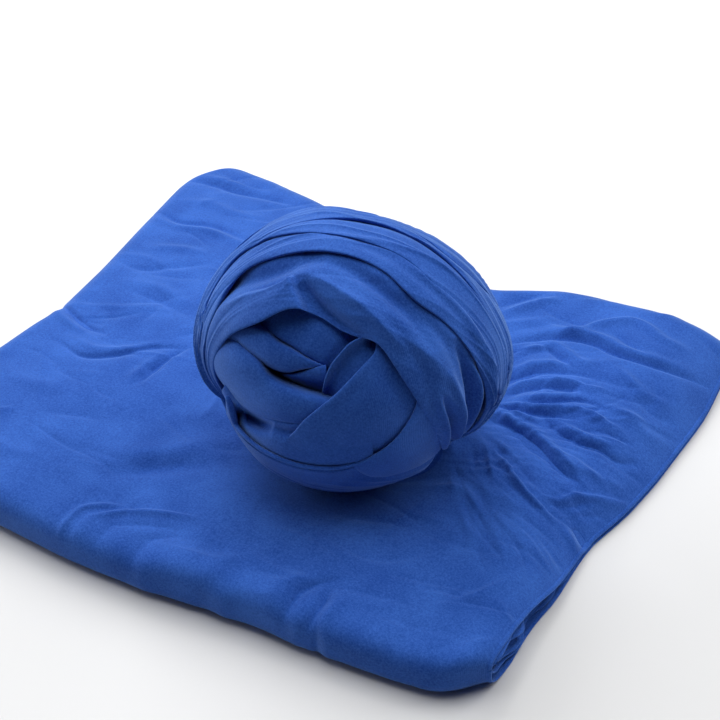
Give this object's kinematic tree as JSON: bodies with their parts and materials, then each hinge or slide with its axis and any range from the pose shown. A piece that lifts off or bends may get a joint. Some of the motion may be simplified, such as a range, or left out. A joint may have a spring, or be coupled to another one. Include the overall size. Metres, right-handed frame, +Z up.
{
  "type": "baby wrap sling",
  "caption": "Long stretch-jersey baby wrap folded flat into a layered pad, with its gathered end wound into a ball on top.",
  "frame": {"origin": "middle of the folded pad's underside", "axes": "+Z up; +X across the cloth, towards the right selvedge; -Y towards the smooth front fold"},
  "size_m": [0.57, 0.5, 0.244],
  "materials": {
    "jersey": "matt cotton jersey with a soft nap",
    "hem": "narrow turned and stitched jersey hem"
  },
  "bodies": {
    "folded_pad": {"end_hem": "hem", "gathered_pleat_1": "jersey", "gathered_pleat_2": "jersey", "gathered_pleat_3": "jersey", "gathered_pleat_4": "jersey", "gathered_pleat_5": "jersey", "pad_bend_1": "jersey", "pad_bend_2": "jersey", "pad_bend_3": "jersey", "pad_bend_4": "jersey", "pad_bend_5": "jersey", "pad_layer_1": "jersey", "pad_layer_2": "jersey", "pad_layer_3": "jersey", "pad_layer_4": "jersey", "pad_layer_5": "jersey", "pad_layer_6": "jersey", "selvedge_hem_left": "hem", "selvedge_hem_right": "hem"},
    "wound_ball": {"ball_core": "jersey", "cup_hem": "hem", "cup_turn": "jersey", "gathered_end_left": "jersey", "gathered_end_right": "jersey", "inner_turn_1": "jersey", "inner_turn_2": "jersey", "inner_turn_3": "jersey", "inner_turn_4": "jersey", "outer_turn_1": "jersey", "outer_turn_2": "jersey", "outer_turn_3": "jersey", "outer_turn_4": "jersey", "outer_turn_5": "jersey", "outer_turn_6": "jersey", "outer_turn_7": "jersey", "outer_turn_8": "jersey", "tucked_fold_centre": "jersey", "tucked_fold_front": "jersey", "tucked_fold_left": "jersey", "tucked_fold_right": "jersey", "tucked_fold_top": "jersey"}
  },
  "joints": [
    {"name": "ball_lift", "type": "slide", "parent": "folded_pad", "child": "wound_ball", "axis": [0, 0, 1], "range_m": [0, 0.06]}
  ]
}
